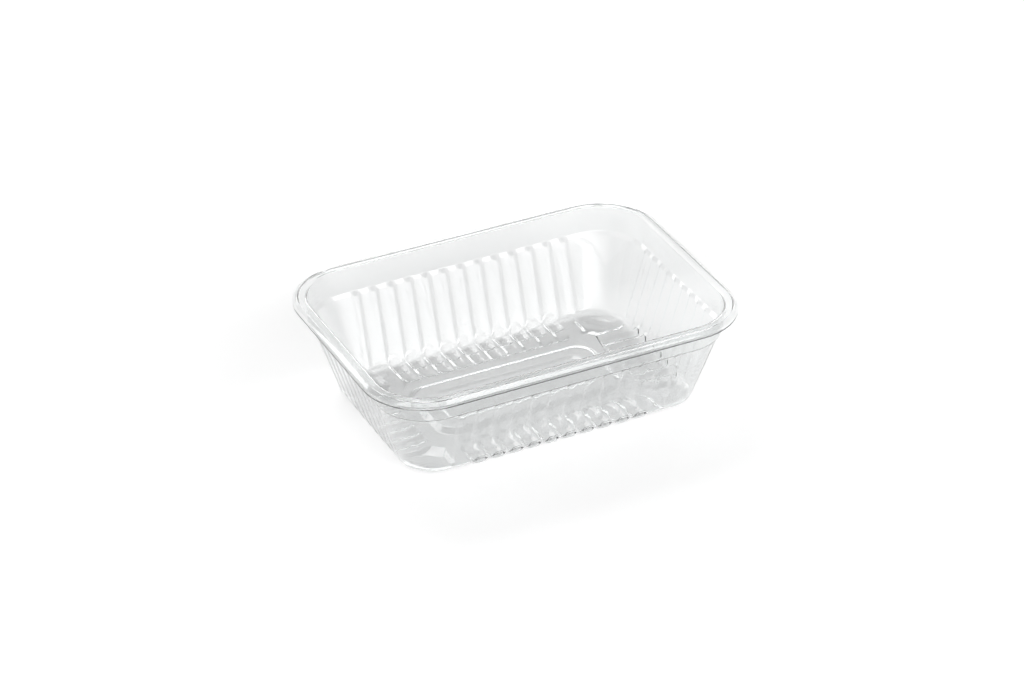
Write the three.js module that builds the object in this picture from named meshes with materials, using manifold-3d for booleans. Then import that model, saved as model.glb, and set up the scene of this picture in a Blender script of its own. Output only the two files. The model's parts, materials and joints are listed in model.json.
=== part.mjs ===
// Clear thermoformed food tray: one thin sheet drawn into a rim, ribbed walls and a base on pads.
// Millimetres, Z up, length along X, origin at the bottom centre.
import * as THREE from 'three';
import { mergeVertices } from 'three/addons/utils/BufferGeometryUtils.js';
import Module from 'manifold-3d';

const wasm = await Module();
wasm.setup();

// Overall sizes
const length = 187;
const width = 134.4;
const height = 51.4;
const sheet = 0.6;

// Rim, measured inward from the outer edge and down from the top
const hemWidth = 1.3;
const lipDrop = 2.8;
const lipRun = 1.3;
const flatWidth = 4.1;
const mouthBend = 1.1;
const lipBend = 0.5;

// Side wall: a smooth upper band, a small ledge, then the ribbed part
const bandDepth = 12.8;
const bandTaper = 0.6;
const ledgeDrop = 2.5;
const ledgeRun = 1.2;
const baseInset = 20.1;
const kneeBend = 2.5;

// Base: pads touch the table, the floor between them is raised, the middle stands higher again
const padDepth = 1.2;
const stepRise = 1.6;
const stepInset = 45.6;
const stepRun = 2.1;
const centreInset = 55.6;
const centreDip = 0.5;
const centreRun = 1;

// Ribs on the walls and the strips between the pads share one crest width
const ribCrest = 1.6;
const ribRoot = 3;
const ribDepth = 1;
const ribTopDrop = 13.7;
const ribTopSlope = 1.8;

// Pads: ten along each long side, six along each short side
const longPitch = 9.1;
const longRibs = 6;
const shortPitch = 7.5;
const shortRibs = 4;
const padSideSlope = 0.5;
const padEndInset = 36;
const padEndSlope = 1.2;
const padStep = 0.15;
const padRound = 1.1;
const padReach = 3;

// Corner pads, outlined at the level of the raised floor
const cornerPad = {
  x: [52, 71.5],
  y: [26.5, 45.2],
  radii: [13.5, 4, 6, 4],
  run: 1.6,
};

// Corner radius of the tray's outline against the inset from the outer edge
const cornerRadii = [[0, 30.4], [6.2, 24.2], [20, 16], [46, 9.5], [57, 4]];
const cornerSteps = 7;
const mirrors = [[1, 1], [-1, 1], [-1, -1], [1, -1]];

// Heights and slopes that follow from the sizes above
const floorTop = sheet + padDepth;
const mouthInset = hemWidth + lipRun + flatWidth;
const bandInset = mouthInset + bandTaper;
const ledgeInset = bandInset + ledgeRun;
const ledgeZ = height - bandDepth - ledgeDrop;
const wallSlope = (baseInset - ledgeInset) / ledgeZ;
const wallSheet = sheet * Math.hypot(1, wallSlope);

function cornerRadius(inset) {
  const last = cornerRadii.length - 2;
  const found = cornerRadii.findIndex(([next]) => next > inset) - 1;
  const index = Math.min(found < 0 ? last : found, last);
  const [inset0, radius0] = cornerRadii[index];
  const [inset1, radius1] = cornerRadii[index + 1];
  return radius0 + ((inset - inset0) / (inset1 - inset0)) * (radius1 - radius0);
}

// Points of one rounded corner of the section, tangent to both of its lines
function bend(before, corner, after) {
  const [x, z, radius, steps] = corner;
  const here = new THREE.Vector2(x, z);
  const back = new THREE.Vector2(before[0], before[1]).sub(here).normalize();
  const ahead = new THREE.Vector2(after[0], after[1]).sub(here).normalize();
  const half = Math.acos(back.dot(ahead)) / 2;
  const toCentre = back.clone().add(ahead).normalize();
  const centre = here.clone().addScaledVector(toCentre, radius / Math.sin(half));
  const start = here.clone().addScaledVector(back, radius / Math.tan(half)).sub(centre);
  const sweep = (Math.PI - 2 * half) * Math.sign(start.cross(here.clone().sub(centre)));
  const points = [];
  for (let step = 0; step <= steps; step += 1) {
    const spot = start.clone().rotateAround(new THREE.Vector2(), (sweep * step) / steps);
    points.push([centre.x + spot.x, centre.y + spot.y]);
  }
  return points;
}

function bendLine(corners) {
  return corners.flatMap((corner, index) => {
    const inner = index > 0 && index < corners.length - 1;
    return inner ? bend(corners[index - 1], corner, corners[index + 1]) : [corner];
  });
}

// The underside of a section line, one sheet thickness away
function underside(line) {
  return line.map(([inset, z], index) => {
    const a = line[Math.max(index - 1, 0)];
    const b = line[index];
    const c = line[Math.min(index + 1, line.length - 1)];
    const before = new THREE.Vector2(a[1] - b[1], b[0] - a[0]).normalize();
    const after = new THREE.Vector2(b[1] - c[1], c[0] - b[0]).normalize();
    const normal = before.clone().add(after).normalize();
    const reach = sheet / normal.dot(after.lengthSq() > 0 ? after : before);
    return [inset + normal.x * reach, z + normal.y * reach, inset];
  });
}

// A closed loop with four rounded corners, counter-clockwise from above
function loop(x, y, radii, z, steps) {
  return mirrors.flatMap(([sideX, sideY], index) => {
    const radius = radii[index];
    const cornerX = (sideX > 0 ? x[1] - radius : x[0] + radius);
    const cornerY = (sideY > 0 ? y[1] - radius : y[0] + radius);
    return Array.from({ length: steps + 1 }, (_, step) => {
      const angle = (Math.PI / 2) * (index + step / steps);
      return [cornerX + radius * Math.cos(angle), cornerY + radius * Math.sin(angle), z];
    });
  });
}

function trayLoop([inset, z, lineInset = inset]) {
  const x = length / 2 - inset;
  const y = width / 2 - inset;
  const radius = cornerRadius(lineInset) + lineInset - inset;
  return loop([-x, x], [-y, y], [radius, radius, radius, radius], z, cornerSteps);
}

// A solid through a stack of loops, closed by the first and the last one
function loft(loops) {
  const count = loops[0].length;
  const triangles = [];
  for (let row = 0; row < loops.length - 1; row += 1) {
    for (let column = 0; column < count; column += 1) {
      const next = (column + 1) % count;
      const a = row * count + column;
      const b = row * count + next;
      triangles.push(a, b, b + count, a, b + count, a + count);
    }
  }
  const top = (loops.length - 1) * count;
  for (let column = 1; column < count - 1; column += 1) {
    triangles.push(0, column + 1, column);
    triangles.push(top, top + column, top + column + 1);
  }
  const geometry = new THREE.BufferGeometry();
  const positions = new THREE.Float32BufferAttribute(loops.flat(2), 3);
  geometry.setAttribute('position', positions);
  geometry.setIndex(triangles);
  return geometry;
}

function toSolid(geometry) {
  geometry.deleteAttribute('normal');
  geometry.deleteAttribute('uv');
  const merged = mergeVertices(geometry, 0.0001);
  return new wasm.Manifold(new wasm.Mesh({
    numProp: 3,
    vertProperties: new Float32Array(merged.attributes.position.array),
    triVerts: new Uint32Array(merged.index.array),
  }));
}

function toGeometry(solid) {
  const mesh = solid.getMesh();
  const geometry = new THREE.BufferGeometry();
  geometry.setAttribute('position', new THREE.BufferAttribute(mesh.vertProperties, 3));
  geometry.setIndex(new THREE.BufferAttribute(mesh.triVerts, 1));
  geometry.computeVertexNormals();
  return geometry;
}

// Features are drawn for the side that faces +Y and turned to the other three
function turned(loops, quarter) {
  const turn = new THREE.Matrix4().makeRotationZ((quarter * Math.PI) / 2);
  return loops.map((points) => points.map((point) => (
    new THREE.Vector3(...point).applyMatrix4(turn).toArray()
  )));
}

function wallInset(z) {
  return baseInset - wallSlope * z;
}

// The section of the sheet, from the middle of the base out to the edge of the hem
function sectionLine() {
  const stepTop = floorTop + stepRise;
  const hemZ = height - lipDrop + sheet;
  return bendLine([
    [centreInset + centreRun, stepTop - centreDip],
    [centreInset, stepTop - centreDip, 0.3, 1],
    [centreInset - centreRun, stepTop, 0.3, 1],
    [stepInset + stepRun, stepTop, 0.8, 2],
    [stepInset, floorTop, 0.8, 2],
    [wallInset(floorTop), floorTop, kneeBend, 4],
    [ledgeInset, ledgeZ, 1, 2],
    [bandInset, height - bandDepth, 1, 2],
    [mouthInset, height, mouthBend, 3],
    [hemWidth + lipRun, height, lipBend, 2],
    [hemWidth, hemZ, lipBend, 2],
    [0, hemZ],
  ]);
}

function ribLoops(along, half, thickness) {
  const slope = (ribRoot - ribCrest) / (2 * ribDepth);
  const halfAt = (depth) => ribRoot / 2 - slope * depth - thickness * Math.hypot(1, slope);
  const crest = ribDepth - thickness * Math.hypot(1, wallSlope);
  const root = thickness > 0 ? -wallSheet - padStep : -ribDepth;
  const topDrop = ribTopDrop + thickness * Math.hypot(1, ribTopSlope);
  const corner = (side, depth, z) => {
    const y = half - wallInset(z) - depth;
    return [along + side * halfAt(depth), y, z];
  };
  const section = (rootZ, crestZ) => [
    corner(1, root, rootZ),
    corner(-1, root, rootZ),
    corner(-1, crest, crestZ),
    corner(1, crest, crestZ),
  ];
  const topAt = (depth) => height - topDrop - ribTopSlope * depth;
  return [section(-1, -1), section(topAt(root), topAt(crest))];
}

function padLoops(along, half, pitch, thickness) {
  const floorHalf = (pitch - ribCrest) / 2 - padDepth * padSideSlope;
  const padLoop = (z) => {
    const rise = z - sheet;
    const side = floorHalf + rise * padSideSlope + thickness * Math.hypot(1, padSideSlope);
    const wallEnd = half - wallInset(z) - padStep + thickness * Math.hypot(1, wallSlope);
    const endInset = padEndInset + (rise - padDepth) * padEndSlope;
    const floorEnd = half - endInset - thickness * Math.hypot(1, padEndSlope);
    const x = [along - side, along + side];
    return loop(x, [floorEnd, wallEnd], [padRound, padRound, padRound, padRound], z, 1);
  };
  return [padLoop(sheet - thickness), padLoop(floorTop + padReach)];
}

function cornerPadLoops(thickness) {
  const slope = cornerPad.run / padDepth;
  const grow = thickness * Math.hypot(1, slope);
  const cornerLoop = (z) => {
    const shift = (floorTop - z) * slope - grow;
    const x = [cornerPad.x[0] + shift, cornerPad.x[1] - shift];
    const y = [cornerPad.y[0] + shift, cornerPad.y[1] - shift];
    const radii = cornerPad.radii.map((radius) => radius - shift);
    return loop(x, y, radii, z, 3);
  };
  return [cornerLoop(sheet - thickness), cornerLoop(floorTop - thickness + 0.3)];
}

function mirrored(loops, [sideX, sideY]) {
  const flipped = loops.map((points) => points.map(([x, y, z]) => [x * sideX, y * sideY, z]));
  return sideX * sideY > 0 ? flipped : flipped.map((points) => points.reverse());
}

function everyRib(thickness) {
  const solids = [];
  for (let quarter = 0; quarter < 4; quarter += 1) {
    const short = quarter % 2 === 1;
    const ribs = short ? shortRibs : longRibs;
    const pitch = short ? shortPitch : longPitch;
    const half = (short ? length : width) / 2;
    for (let rib = -ribs; rib <= ribs; rib += 1) {
      solids.push(toSolid(loft(turned(ribLoops(rib * pitch, half, thickness), quarter))));
    }
  }
  return solids;
}

function everyPad(thickness) {
  const solids = mirrors.map((mirror) => toSolid(loft(mirrored(cornerPadLoops(thickness), mirror))));
  for (let quarter = 0; quarter < 4; quarter += 1) {
    const short = quarter % 2 === 1;
    const pads = 2 * (short ? shortRibs : longRibs) - 2;
    const pitch = short ? shortPitch : longPitch;
    const half = (short ? length : width) / 2;
    for (let pad = 0; pad < pads; pad += 1) {
      const along = (pad - (pads - 1) / 2) * pitch;
      solids.push(toSolid(loft(turned(padLoops(along, half, pitch, thickness), quarter))));
    }
  }
  return solids;
}

// The tray is its outside with the space inside taken away, both with the same pads and ribs
function makeTray() {
  const line = sectionLine();
  const mouth = line.findIndex(([, z]) => z > height - 0.001);
  const outline = [...underside(line), ...line.slice(mouth).reverse()];
  const inside = [...line.slice(0, mouth + 1), [line[mouth][0], height + 1]];
  const outer = wasm.Manifold.union([toSolid(loft(outline.map(trayLoop))), ...everyPad(sheet)]);
  const space = wasm.Manifold.union([toSolid(loft(inside.map(trayLoop))), ...everyPad(0)]);
  const grooves = wasm.Manifold.union(everyRib(sheet));
  const ridges = wasm.Manifold.union(everyRib(0));
  return outer.subtract(grooves).subtract(space.subtract(ridges));
}

const clearPlastic = new THREE.MeshStandardMaterial({
  color: '#e8eef0',
  roughness: 0.08,
  metalness: 0,
});

const group = new THREE.Group();
const tray = new THREE.Mesh(toGeometry(makeTray()), clearPlastic);
tray.name = 'tray';
group.add(tray);

export default group;
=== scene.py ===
import json
import math
import bpy
import numpy as np
from mathutils import Matrix, Vector

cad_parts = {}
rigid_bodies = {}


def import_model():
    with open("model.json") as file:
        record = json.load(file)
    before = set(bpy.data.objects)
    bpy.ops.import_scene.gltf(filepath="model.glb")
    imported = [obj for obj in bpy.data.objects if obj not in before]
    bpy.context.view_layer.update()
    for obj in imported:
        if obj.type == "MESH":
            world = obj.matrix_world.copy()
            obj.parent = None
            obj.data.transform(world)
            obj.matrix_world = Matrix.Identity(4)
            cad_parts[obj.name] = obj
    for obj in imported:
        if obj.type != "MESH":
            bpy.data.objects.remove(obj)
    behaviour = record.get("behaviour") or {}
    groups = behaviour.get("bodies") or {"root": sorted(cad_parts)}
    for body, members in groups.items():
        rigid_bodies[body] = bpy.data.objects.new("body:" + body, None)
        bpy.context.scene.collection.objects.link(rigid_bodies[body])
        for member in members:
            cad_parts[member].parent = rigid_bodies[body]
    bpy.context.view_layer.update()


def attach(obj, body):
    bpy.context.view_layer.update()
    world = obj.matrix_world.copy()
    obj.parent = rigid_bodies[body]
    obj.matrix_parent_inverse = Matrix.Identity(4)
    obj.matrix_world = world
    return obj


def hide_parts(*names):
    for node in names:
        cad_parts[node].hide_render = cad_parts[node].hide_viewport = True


for thing in list(bpy.data.objects):      # Blender's own cube, lamp and camera
    bpy.data.objects.remove(thing)
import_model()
print("frame loaded")

mm = 0.001


def linear(hexColour):
    # sRGB hex to the linear values that the shaders take
    values = [int(hexColour[i:i + 2], 16) / 255 for i in (1, 3, 5)]
    return [v / 12.92 if v <= 0.04045 else ((v + 0.055) / 1.055) ** 2.4 for v in values] + [1]


def addNode(tree, kind, settings=None, links=None):
    # one node with its settings, and its inputs linked from other nodes' sockets
    node = tree.nodes.new(kind)
    for name, value in (settings or {}).items():
        if name in node.inputs:
            node.inputs[name].default_value = value
        else:
            setattr(node, name, value)
    for name, socket in (links or {}).items():
        tree.links.new(socket, node.inputs[name])
    return node


# the tray's sheet, in millimetres: insets run inward from the rim's outer edge, heights up from the table,
# and each bend is a radius and a number of steps
tray = {
    "length": 187, "width": 134.4, "height": 51.4,
    "rimSheet": 0.6, "wallSheet": 0.36, "evenRim": 2, "tableGap": 0.01,
    "hemWidth": 1.3, "lipDrop": 2.8, "lipRun": 1.3, "flatWidth": 4.1,
    "bandDepth": 12.8, "bandTaper": 0.6, "ledgeDrop": 1.9, "ledgeRun": 1.4,
    "hemBend": (0.45, 3), "lipBend": (0.7, 4), "mouthBend": (1.1, 5),
    "bandBend": (0.9, 4), "ledgeBend": (0.6, 3),
    "wallTop": 35.8, "wallHeights": (35.2, 34.6, 34, 33.3, 31, 24, 17),
    "ribDepth": 0.8, "shortRibDepth": 0.36, "ribTop": 12.4, "ribRise": 2.6,
    "ribCrest": 0.8, "ribRoot": 2.7, "ribBend": 0.3,      # from the middle of a rib to one side
    "longPitch": 9.1, "longRibs": 6, "shortPitch": 7.5, "shortRibs": 4,      # on each side of the middle rib
    "baseInset": 20.1, "kneeTop": 11, "kneeEnd": 24.5,
    "cutTop": 5.4, "cutFoot": 4.1, "cutRun": 0.5, "cutBend": (0.4, 3), "padBend": (1.5, 6),
    "ribKneeBend": (2.0, 14), "cornerKneeBend": (3, 14),
    "padDepth": 1.2, "heelDepth": 0.5, "heelEnd": 28.7, "padEnd": 38.2, "padSlope": 1.2,
    "floorRows": (25.4, 26.4, 27.4), "padInsets": (24.6, 43), "cornerPadInsets": (20.5, 43),
    "cornerPad": {"x": (52.8, 70.7), "y": (27.3, 44.4), "radii": (12.6, 3.2, 5.2, 3.2), "soft": 3.2},
    "stepRise": 1.6, "stepFoot": 45.0, "stepTop": 47.9, "stepFootBend": (2.0, 4), "stepTopBend": (2.4, 4),
    "dipDepth": 0.5, "dipEdge": 54.6, "dipFoot": 56.2, "dipEnd": 58, "dipBend": (1.0, 2),
    "radii": ((0, 30.4), (6.7, 23.9), (20.1, 15.5), (36, 7.5), (45.6, 9.5), (58, 4)),
    "straightInset": 36, "straightPast": 2.01, "cornerLines": 13,
}

height = tray["height"]
padTop = tray["wallSheet"] + tray["tableGap"]      # the pads' upper side, just clear of the table
floorTop = padTop + tray["padDepth"]
mouthInset = tray["hemWidth"] + tray["lipRun"] + tray["flatWidth"]
bandInset = mouthInset + tray["bandTaper"]
ledgeInset = bandInset + tray["ledgeRun"]
ledgeHeight = height - tray["bandDepth"] - tray["ledgeDrop"]
wallSlope = (tray["baseInset"] - ledgeInset) / ledgeHeight


def wallInset(z):
    return tray["baseInset"] - wallSlope * z


def bend(before, corner, after, radius, steps):
    # points of a rounded corner, tangent to both of its lines
    corner, back, ahead = np.array(corner), np.array(before) - corner, np.array(after) - corner
    back, ahead = back / np.linalg.norm(back), ahead / np.linalg.norm(ahead)
    half = math.acos(float(back @ ahead)) / 2
    middle = (back + ahead) / np.linalg.norm(back + ahead)
    centre = corner + middle * radius / math.sin(half)
    first = corner + back * radius / math.tan(half) - centre
    last = corner + ahead * radius / math.tan(half) - centre
    sweep = math.atan2(first[0] * last[1] - first[1] * last[0], float(first @ last))
    points = []
    for step in range(steps + 1):
        turn = sweep * step / steps
        c, s = math.cos(turn), math.sin(turn)
        points.append(centre + np.array([first[0] * c - first[1] * s, first[0] * s + first[1] * c]))
    return points


def bendLine(corners):
    # each corner between the two ends is an inset, a height and a bend
    points = [np.array(corners[0][:2], float)]
    for before, corner, after in zip(corners, corners[1:], corners[2:]):
        points += bend(before[:2], corner[:2], after[:2], *corner[2])
    return points + [np.array(corners[-1][:2], float)]


def smooth(t):
    t = np.clip(t, 0, 1)
    return t * t * (3 - 2 * t)


def rimRows():
    hemZ = height - tray["lipDrop"] + tray["rimSheet"]
    return bendLine([
        (0, hemZ),
        (tray["hemWidth"], hemZ, tray["hemBend"]),
        (tray["hemWidth"] + tray["lipRun"], height, tray["lipBend"]),
        (mouthInset, height, tray["mouthBend"]),
        (bandInset, height - tray["bandDepth"], tray["bandBend"]),
        (ledgeInset, ledgeHeight, tray["ledgeBend"]),
        (wallInset(tray["wallTop"]), tray["wallTop"]),
    ])


def wallRows():
    return [np.array([wallInset(z), z]) for z in tray["wallHeights"]]


def kneeRows(kind):
    # from the wall round to the floor: behind a panel, in a rib and in a corner
    start, end = tray["kneeTop"], tray["kneeEnd"]
    if kind == "panel":
        top, foot, run = tray["cutTop"], tray["cutFoot"], tray["cutRun"]
        return bendLine([
            (wallInset(start), start),
            (wallInset(top), top, tray["cutBend"]),
            (wallInset(foot) + run, foot, tray["cutBend"]),
            (wallInset(padTop) + run, padTop, tray["padBend"]),
            (end, padTop),
        ])
    deep = tray["ribDepth"] if kind == "rib" else 0
    return bendLine([
        (wallInset(start) + deep, start),
        (wallInset(floorTop) + deep, floorTop, tray[kind + "KneeBend"]),
        (end, floorTop),
    ])


def floorInsets():
    # rows gather where the pads step up
    insets = list(tray["floorRows"])
    for middle in (tray["heelEnd"], tray["padEnd"]):
        for share in (-0.8, -0.6, -0.4, -0.15, 0.15, 0.4, 0.6, 0.8):
            insets.append(middle + share * tray["padSlope"])
        insets += [middle + 2.5, middle + 4.5]
    return insets


def centreRows():
    # the oblong step and the shallow dip in it
    high = floorTop + tray["stepRise"]
    low = high - tray["dipDepth"]
    return bendLine([
        (tray["stepFoot"] - 1, floorTop),
        (tray["stepFoot"], floorTop, tray["stepFootBend"]),
        (tray["stepTop"], high, tray["stepTopBend"]),
        (tray["dipEdge"], high, tray["dipBend"]),
        (tray["dipFoot"], low, tray["dipBend"]),
        (tray["dipEnd"], low),
    ])


def cornerRadius(inset):
    return np.interp(inset, [row[0] for row in tray["radii"]], [row[1] for row in tray["radii"]])


def lastPadRib(side):
    # how far from the middle of its side the last pad's outer rib stands
    return (tray[side + "Ribs"] - 1) * tray[side + "Pitch"]


def ribLines(pitch, ribs):
    # the sheet's lines from the middle of a side to its last rib gather at each rib's bends
    crest, root, soft = tray["ribCrest"], tray["ribRoot"], tray["ribBend"]
    side = (crest - soft, crest, crest + soft, root - soft, root, root + soft)
    offsets = [-away for away in side] + [0] + list(side)
    lines = [k * pitch + offset for k in range(ribs + 1) for offset in offsets]
    lines += [(k + 0.5) * pitch for k in range(ribs)]
    return np.array(sorted(line for line in lines if line > 0))


def ribWeight(along, pitch, ribs):
    # 1 on a rib's crest and 0 beside it, with straight sides and rounded bends
    away = abs(along - np.minimum(np.round(along / pitch), ribs) * pitch)
    run = tray["ribRoot"] - tray["ribCrest"]
    bends = np.linspace(-tray["ribBend"], tray["ribBend"], 7)
    return np.mean([np.clip((tray["ribRoot"] - away + b) / run, 0, 1) for b in bends], axis=0)


def quarterPoint(s, inset):
    # points of a quarter of the outline and their outward directions; s runs from the long side's middle
    x, y, r = tray["length"] / 2 - inset, tray["width"] / 2 - inset, cornerRadius(inset)
    arc = np.clip((s - (x - r)) / r, 0, math.pi / 2)
    px = np.where(s < x - r, s, x - r + r * np.sin(arc))
    over = np.maximum(s - (x - r) - r * math.pi / 2, 0)
    py = y - r + r * np.cos(arc) - over
    return np.stack([px, py], 1), np.stack([np.sin(arc), np.cos(arc)], 1)


def quarterLength(inset):
    x, y, r = tray["length"] / 2 - inset, tray["width"] / 2 - inset, cornerRadius(inset)
    return x - r + y - r + r * math.pi / 2


def quarterPlaces(inset, longLines, shortLines):
    # where the sheet's lines cross a ring: straight down the walls and pads, then gathered to the middle
    total = quarterLength(min(inset, tray["baseInset"]))
    first, last = longLines[-1], total - shortLines[-1]
    count = tray["cornerLines"]
    arc = first + (last - first) * np.arange(1, count + 1) / (count + 1)
    places = np.concatenate([longLines, arc, total - shortLines[::-1]])
    if inset <= tray["baseInset"]:
        return places
    nearLong = lastPadRib("long") + tray["straightPast"]
    nearShort = lastPadRib("short") + tray["straightPast"]
    now = quarterLength(min(inset, tray["straightInset"]))
    share = np.clip((places - nearLong) / (total - nearShort - nearLong), 0, 1)
    moved = nearLong + share * (now - nearShort - nearLong)
    beyond = np.where(places > total - nearShort, places - total + now, moved)
    places = np.where(places < nearLong, places, beyond)
    return places * quarterLength(inset) / now


def roundedBox(dx, dy, radius):
    # signed distance from a rounded outline, given the distances past its straight sides
    dx, dy = dx + radius, dy + radius
    return np.hypot(np.maximum(dx, 0), np.maximum(dy, 0)) + np.minimum(np.maximum(dx, dy), 0) - radius


def cornerPadShare(points):
    # 1 on a corner pad, 0 off it, with a soft flank between
    pad = tray["cornerPad"]
    x, y = points[:, 0], points[:, 1]
    middleX, middleY = sum(pad["x"]) / 2, sum(pad["y"]) / 2
    halfX, halfY = (pad["x"][1] - pad["x"][0]) / 2, (pad["y"][1] - pad["y"][0]) / 2
    right, top = x > middleX, y > middleY
    outer, topLeft, bottomLeft, bottomRight = pad["radii"]
    radius = np.where(right, np.where(top, outer, bottomRight), np.where(top, topLeft, bottomLeft))
    gap = roundedBox(abs(x - middleX) - halfX, abs(y - middleY) - halfY, radius)
    return smooth(0.5 - gap / pad["soft"])


def trayRows():
    # each row: its corner, panel and rib section points, and how far its ribs have risen
    rows = []
    for point in rimRows() + wallRows():
        rise = float(smooth((height - tray["ribTop"] - point[1]) / tray["ribRise"]))
        rows.append((point, point, point + np.array([tray["ribDepth"] * rise, 0]), rise))
    rows += [points + (1,) for points in zip(kneeRows("corner"), kneeRows("panel"), kneeRows("rib"))]
    flats = [np.array([inset, floorTop]) for inset in floorInsets()] + centreRows()
    return rows + [(point, point, point, 0) for point in flats]


def drawTray():
    # the upper side of the sheet, as rings of points from the rim to the middle
    longLines = ribLines(tray["longPitch"], tray["longRibs"])
    shortLines = ribLines(tray["shortPitch"], tray["shortRibs"])
    plain = np.zeros(tray["cornerLines"])
    rib = np.concatenate([ribWeight(longLines, tray["longPitch"], tray["longRibs"]), plain,
                          ribWeight(shortLines, tray["shortPitch"], tray["shortRibs"])[::-1]])
    panel = np.concatenate([(longLines < lastPadRib("long")).astype(float), plain,
                            (shortLines < lastPadRib("short"))[::-1].astype(float)])
    onShort = np.arange(len(rib)) >= len(longLines) + len(plain)
    less = (tray["ribDepth"] - tray["shortRibDepth"]) * onShort
    padStart, padStop = tray["padInsets"]
    cornerStart, cornerStop = tray["cornerPadInsets"]

    rings = []
    for corner, panelPoint, ribPoint, rise in trayRows():
        inset = corner[0]
        points, outward = quarterPoint(quarterPlaces(inset, longLines, shortLines), inset)
        base = corner + (panelPoint - corner) * panel[:, None]
        section = base + (ribPoint - base) * rib[:, None]
        section[:, 0] -= less * rib * rise
        spot = points - outward * (section[:, :1] - inset)
        z = section[:, 1].copy()
        if padStart < inset < padStop:
            heel = smooth(0.5 + (tray["heelEnd"] - inset) / tray["padSlope"])
            pad = smooth(0.5 + (tray["padEnd"] - inset) / tray["padSlope"])
            drop = tray["heelDepth"] * heel + (tray["padDepth"] - tray["heelDepth"]) * pad
            z -= drop * panel * (1 - rib)
        if cornerStart < inset < cornerStop:
            z -= tray["padDepth"] * cornerPadShare(spot) * (1 - panel * (1 - rib))
        quarter = np.concatenate([spot, z[:, None]], 1)
        quarters = [quarter, quarter[::-1] * (1, -1, 1), quarter * (-1, -1, 1), quarter[::-1] * (-1, 1, 1)]
        rings.append(np.concatenate(quarters))
    return np.array(rings) * mm


def mergeFlats(sheet):
    # on the straight stretches of the rim and of the middle, each row of the grid becomes one long face
    faces = sheet.data.polygons
    centres = np.empty(len(faces) * 3)
    faces.foreach_get("center", centres)
    x, y, z = np.abs(centres.reshape(-1, 3).T) / mm
    insetX, insetY = tray["length"] / 2 - x, tray["width"] / 2 - y
    inset = np.minimum(insetX, insetY)
    straight = np.maximum(insetX, insetY) > inset + cornerRadius(inset) + 1
    rimOrMiddle = (z > height - tray["bandDepth"] + 1) | (inset > tray["padEnd"] + 2)
    faces.foreach_set("select", straight & rimOrMiddle)
    bpy.ops.object.mode_set(mode="EDIT")
    bpy.ops.mesh.select_mode(type="FACE")
    bpy.ops.mesh.dissolve_limited(angle_limit=math.radians(0.5))
    bpy.ops.object.mode_set(mode="OBJECT")


def layGrid(rings):
    # a flat grid, one line for each line of the sheet, is drawn over the tray's form and closed into a ring
    rowCount, around = rings.shape[:2]
    bpy.ops.object.select_all(action="DESELECT")
    bpy.ops.mesh.primitive_grid_add(x_subdivisions=around, y_subdivisions=rowCount - 1, size=1)
    sheet = bpy.context.object
    sheet.name = "drawnTray"
    closed = np.concatenate([rings, rings[:, :1]], 1)
    sheet.data.vertices.foreach_set("co", closed.reshape(-1).astype(np.float32))
    sheet.data.update()
    bpy.ops.object.mode_set(mode="EDIT")
    bpy.ops.mesh.select_mode(type="VERT")
    bpy.ops.mesh.select_all(action="SELECT")
    bpy.ops.mesh.remove_doubles(threshold=0.002 * mm)
    bpy.ops.mesh.select_all(action="DESELECT")
    bpy.ops.object.mode_set(mode="OBJECT")
    return sheet


def closeMiddle(sheet, ring):
    # the flat middle of the dip, across the edge that is still open
    slack = 0.01 * mm
    reach, level = np.abs(ring).max(axis=0) + slack, ring[:, 2].max()
    for vertex in sheet.data.vertices:
        x, y, z = vertex.co
        vertex.select = bool(abs(x) < reach[0] and abs(y) < reach[1] and abs(z - level) < slack / 2)
    bpy.ops.object.mode_set(mode="EDIT")
    bpy.ops.mesh.edge_face_add()
    bpy.ops.mesh.select_all(action="SELECT")
    bpy.ops.mesh.normals_make_consistent(inside=False)
    bpy.ops.object.mode_set(mode="OBJECT")


def faceUp(sheet):
    middle = max(sheet.data.polygons, key=lambda face: face.area)
    if middle.normal.z < 0:
        bpy.ops.object.mode_set(mode="EDIT")
        bpy.ops.mesh.flip_normals()
        bpy.ops.object.mode_set(mode="OBJECT")


def thicken(sheet):
    # the drawn walls are thinner than the clamped rim
    thin = sheet.vertex_groups.new(name="thickness")
    thinShare = tray["wallSheet"] / tray["rimSheet"]
    heights = np.array([vertex.co.z for vertex in sheet.data.vertices]) / mm
    drawn = smooth((height - tray["evenRim"] - heights) / (tray["bandDepth"] - tray["evenRim"]))
    shares = np.round(1 + (thinShare - 1) * drawn, 3)
    for share in np.unique(shares):
        thin.add(np.nonzero(shares == share)[0].tolist(), float(share), "REPLACE")
    wall = sheet.modifiers.new("sheet", "SOLIDIFY")
    wall.thickness = tray["rimSheet"] * mm
    wall.vertex_group = thin.name
    wall.offset = -1
    wall.use_even_offset = True
    bpy.ops.object.modifier_apply(modifier=wall.name)
    bpy.ops.object.shade_smooth_by_angle(angle=math.radians(50))


def makeTray():
    rings = drawTray()
    sheet = layGrid(rings)
    closeMiddle(sheet, rings[-1])
    mergeFlats(sheet)
    faceUp(sheet)
    thicken(sheet)
    return sheet


sheet = makeTray()
print("tray drawn", len(sheet.data.polygons))

clearSheet = {"colour": "#f2f3f3", "ior": 1.57, "roughness": 0.02}


def clearThermoformedPet():
    # clear PET sheet, drawn hot over a mould: glossy, neutral, with hard bright and dark lines at each bend
    material = bpy.data.materials.new("clear thermoformed PET")
    material.use_nodes = True
    tree = material.node_tree
    tree.nodes.clear()
    surface = addNode(tree, "ShaderNodeBsdfPrincipled", {
        "Base Color": linear(clearSheet["colour"]),
        "Transmission Weight": 1.0,
        "IOR": clearSheet["ior"],
        "Roughness": clearSheet["roughness"],
    })
    addNode(tree, "ShaderNodeOutputMaterial", links={"Surface": surface.outputs["BSDF"]})
    return material


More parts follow.
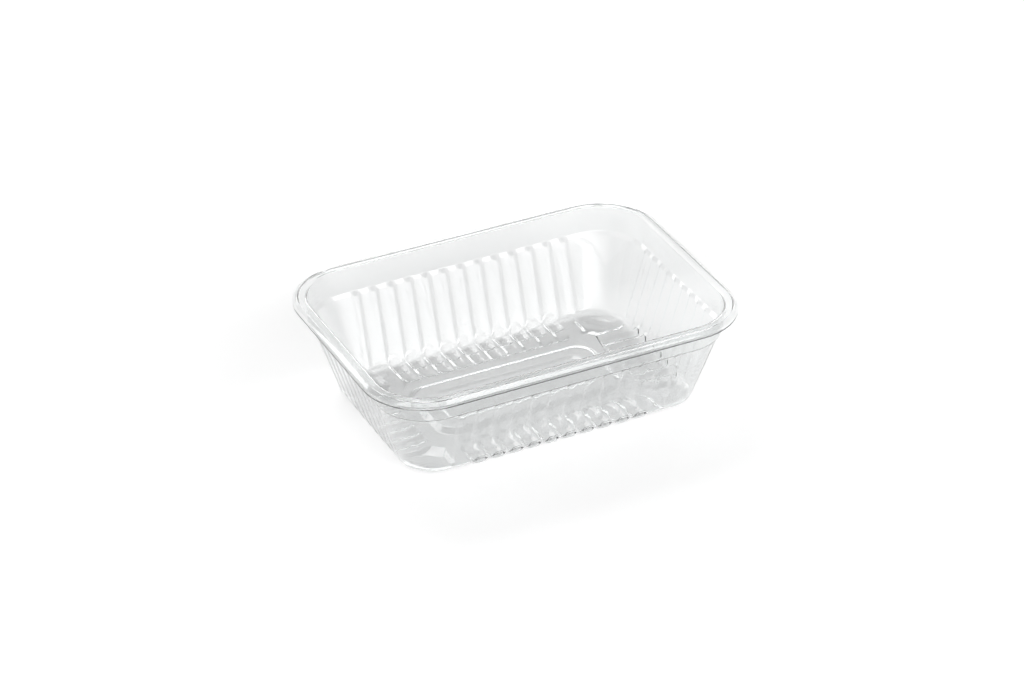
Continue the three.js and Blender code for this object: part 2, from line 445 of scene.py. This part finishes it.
sheet.data.materials.clear()
sheet.data.materials.append(clearThermoformedPet())
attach(sheet, "root")
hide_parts("tray")

# the table's painted glow, by its place from front to back in metres: a pool of light painted into its
# emission, brightest under the tray's front half
table = {
    "colour": "#f4f4f4", "roughness": 0.9, "size": 6, "below": 0.1 * mm, "span": 0.1,
    "paintedGlow": ((-0.06, 0.38), (-0.035, 0.48), (0, 0.46), (0.045, 0.4), (0.07, 0.32)),
}


def setStops(ramp, stops, first, last):
    for place, level in stops:
        ramp.elements.new(place).color = (level, level, level, 1)
    ramp.elements[0].color = (first, first, first, 1)
    ramp.elements[-1].color = (last, last, last, 1)


def paintedGlowTable():
    # white acrylic table whose emission is painted light, brightest under the front half of the tray, so that
    # shadows stay faint and the floor seen through the tray is lighter
    bpy.ops.object.select_all(action="DESELECT")
    bpy.ops.mesh.primitive_plane_add(size=table["size"], location=(0, 0, -table["below"]))
    floor = bpy.context.object
    floor.name = "paintedGlowTable"
    material = bpy.data.materials.new("white acrylic")
    material.use_nodes = True
    tree = material.node_tree
    tree.nodes.clear()
    place = addNode(tree, "ShaderNodeTexCoord")
    across = addNode(tree, "ShaderNodeSeparateXYZ", links={"Vector": place.outputs["Object"]})
    span, levels = table["span"], table["paintedGlow"]
    ends = {"From Min": -span, "From Max": span}
    share = addNode(tree, "ShaderNodeMapRange", ends, {"Value": across.outputs["Y"]})
    # painted glow: a pool of light painted into the table's emission, brightest under the tray's front half
    paintedGlow = addNode(tree, "ShaderNodeValToRGB", links={"Fac": share.outputs["Result"]})
    paintedGlow.color_ramp.interpolation = "EASE"
    stops = [((y + span) / (2 * span), level) for y, level in levels]
    setStops(paintedGlow.color_ramp, stops, levels[0][1], levels[-1][1])
    surface = addNode(tree, "ShaderNodeBsdfPrincipled", {
        "Base Color": linear(table["colour"]),
        "Roughness": table["roughness"],
        "Specular IOR Level": 0.0,
        "Emission Strength": 1.0,
    }, {"Emission Color": paintedGlow.outputs["Color"]})
    addNode(tree, "ShaderNodeOutputMaterial", links={"Surface": surface.outputs["BSDF"]})
    floor.data.materials.append(material)


# the room goes by the sine of the height above the horizon: a bright wall low down, a dark band, a bright
# strip at 30 to 41 degrees and a dark ceiling; the window is broad and soft, low on the left front, and fades
# out to its sides; each softbox is its place and size in metres and its power in watts
studio = {
    "light": 0.8, "horizon": 0.95, "ceiling": 0.05,
    "room": ((0.13, 0.95), (0.24, 0.2), (0.42, 0.2), (0.5, 1.3), (0.66, 1.3), (0.8, 0.1)),
    "window": {"side": (-0.174, -0.985, 0.02), "edge": (0.6, 0.96), "light": 4.7},
    "aim": (0, 0, 0.02),
    "softboxes": {
        "frontTop": ((0.8, -1.55, 1.3), (1.0, 0.4), 3.6),
        "leftTop": ((-1.59, -0.72, 1.36), (0.9, 0.4), 3.4),
        "backLeftLow": ((-1.35, 1.69, 0.45), (0.5, 0.3), 1.4),
        "backLow": ((1.25, 2.05, 0.4), (1.4, 0.65), 9),
        "backTop": ((0.05, 1.1, 1.42), (1.1, 0.5), 4.4),
        "backLeft": ((-0.29, 1.63, 1.12), (0.6, 0.5), 2.2),
    },
}


def softbox(name, place, size, power):
    light = bpy.data.lights.new(name, "AREA")
    light.shape = "RECTANGLE"
    light.size, light.size_y = size
    light.energy = power
    lamp = bpy.data.objects.new(name, light)
    bpy.context.scene.collection.objects.link(lamp)
    lamp.location = place
    lamp.rotation_euler = (Vector(studio["aim"]) - Vector(place)).to_track_quat("-Z", "Y").to_euler()


def lightStudio():
    world = bpy.data.worlds.new("studio")
    world.use_nodes = True
    tree = world.node_tree
    background = tree.nodes["Background"]
    place = addNode(tree, "ShaderNodeTexCoord")
    parts = addNode(tree, "ShaderNodeSeparateXYZ", links={"Vector": place.outputs["Generated"]})
    room = addNode(tree, "ShaderNodeValToRGB", links={"Fac": parts.outputs["Z"]})
    setStops(room.color_ramp, studio["room"], studio["horizon"], studio["ceiling"])
    window = studio["window"]
    facing = addNode(tree, "ShaderNodeVectorMath", {"operation": "DOT_PRODUCT"})
    tree.links.new(place.outputs["Generated"], facing.inputs[0])
    facing.inputs[1].default_value = window["side"]
    fade = addNode(tree, "ShaderNodeMapRange", {
        "interpolation_type": "SMOOTHSTEP",
        "From Min": window["edge"][0], "From Max": window["edge"][1],
        "To Min": 1.0, "To Max": window["light"],
    }, {"Value": facing.outputs["Value"]})
    both = addNode(tree, "ShaderNodeVectorMath", {"operation": "MULTIPLY"})
    tree.links.new(room.outputs["Color"], both.inputs[0])
    tree.links.new(fade.outputs["Result"], both.inputs[1])
    tree.links.new(both.outputs["Vector"], background.inputs["Color"])
    background.inputs["Strength"].default_value = studio["light"]
    bpy.context.scene.world = world
    for name, (spot, size, power) in studio["softboxes"].items():
        softbox(name, spot, size, power)


# found from the rim and base lines of the photograph, with the focal length in pixels
view = {
    "place": (-0.6546, -1.3544, 0.9591),
    "right": (0.8977, -0.4405, -0.0112), "up": (0.2404, 0.4684, 0.8502), "back": (-0.3692, -0.7659, 0.5264),
    "focal": 3802, "photoWidth": 1024, "sensor": 36, "nearest": 0.05,
}


def placeCamera():
    data = bpy.data.cameras.new("camera")
    data.sensor_width = view["sensor"]
    data.lens = view["focal"] / view["photoWidth"] * view["sensor"]
    data.clip_start = view["nearest"]
    camera = bpy.data.objects.new("camera", data)
    bpy.context.scene.collection.objects.link(camera)
    turn = Matrix([view[side] for side in ("right", "up", "back")]).transposed().to_4x4()
    camera.matrix_world = Matrix.Translation(Vector(view["place"])) @ turn
    bpy.context.scene.camera = camera


paintedGlowTable()
lightStudio()
placeCamera()
bpy.context.scene.view_settings.view_transform = "Standard"
print("studio set")
